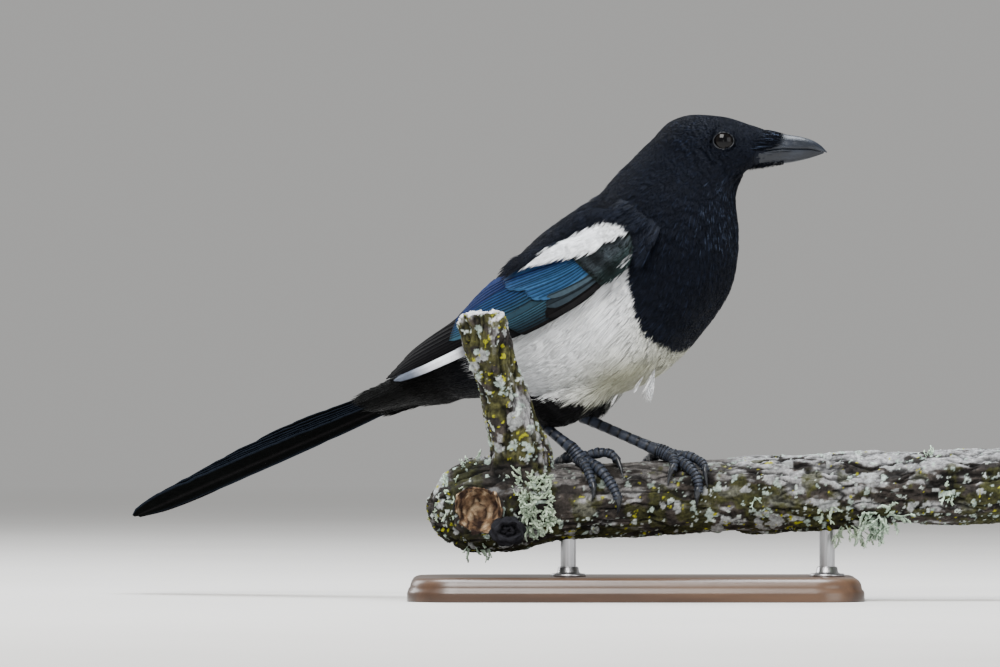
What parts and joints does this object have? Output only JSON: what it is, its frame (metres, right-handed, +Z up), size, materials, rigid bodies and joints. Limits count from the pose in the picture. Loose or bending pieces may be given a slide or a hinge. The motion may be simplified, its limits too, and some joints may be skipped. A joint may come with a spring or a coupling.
{
  "type": "eurasian magpie on a branch perch",
  "caption": "Life-size standing model of a black and white magpie gripping a short length of lichened branch, held level by a plain display stand.",
  "frame": {"origin": "middle of the display stand's underside", "axes": "+Z up; +X along the branch, the way that the bird's bill points; -Y towards the side from which the picture sees it"},
  "size_m": [0.4532, 0.218, 0.2469],
  "materials": {
    "black_feathers": "soft black plumage with a faint blue gloss",
    "belly": "white silky plumage on the belly, black on the breast and back",
    "white_feathers": "clean white shoulder plumage",
    "wing_feathers": "steel blue and bronze gloss on black flight feathers",
    "tail_feathers": "black with a faint green and bronze gloss",
    "bill": "dark horn, half gloss",
    "claw": "dark horn, half gloss",
    "leg": "blue-grey scaled skin",
    "eye": "very dark brown, wet gloss",
    "bark": "rough weathered bark with lichen",
    "lichen": "dull pale grey-green",
    "base": "dark satin varnish",
    "rod": "brushed"
  },
  "bodies": {
    "root": {"torso": "belly", "neck": "black_feathers", "head": "black_feathers", "bill_upper": "bill", "bill_lower": "bill", "tail": "tail_feathers", "eye_right": "eye", "wing_right": "wing_feathers", "scapulars_right": "white_feathers", "thigh_right": "black_feathers", "shank_right": "leg", "foot_right": "leg", "claw_right_outer": "claw", "claw_right_middle": "claw", "claw_right_inner": "claw", "claw_right_hind": "claw", "eye_left": "eye", "wing_left": "wing_feathers", "scapulars_left": "white_feathers", "thigh_left": "black_feathers", "shank_left": "leg", "foot_left": "leg", "claw_left_outer": "claw", "claw_left_middle": "claw", "claw_left_inner": "claw", "claw_left_hind": "claw", "perch_branch": "bark", "perch_lichen_front": "lichen", "perch_lichen_under": "lichen", "stand_base": "base", "stand_rod_1": "rod", "stand_rod_2": "rod"}
  },
  "joints": []
}
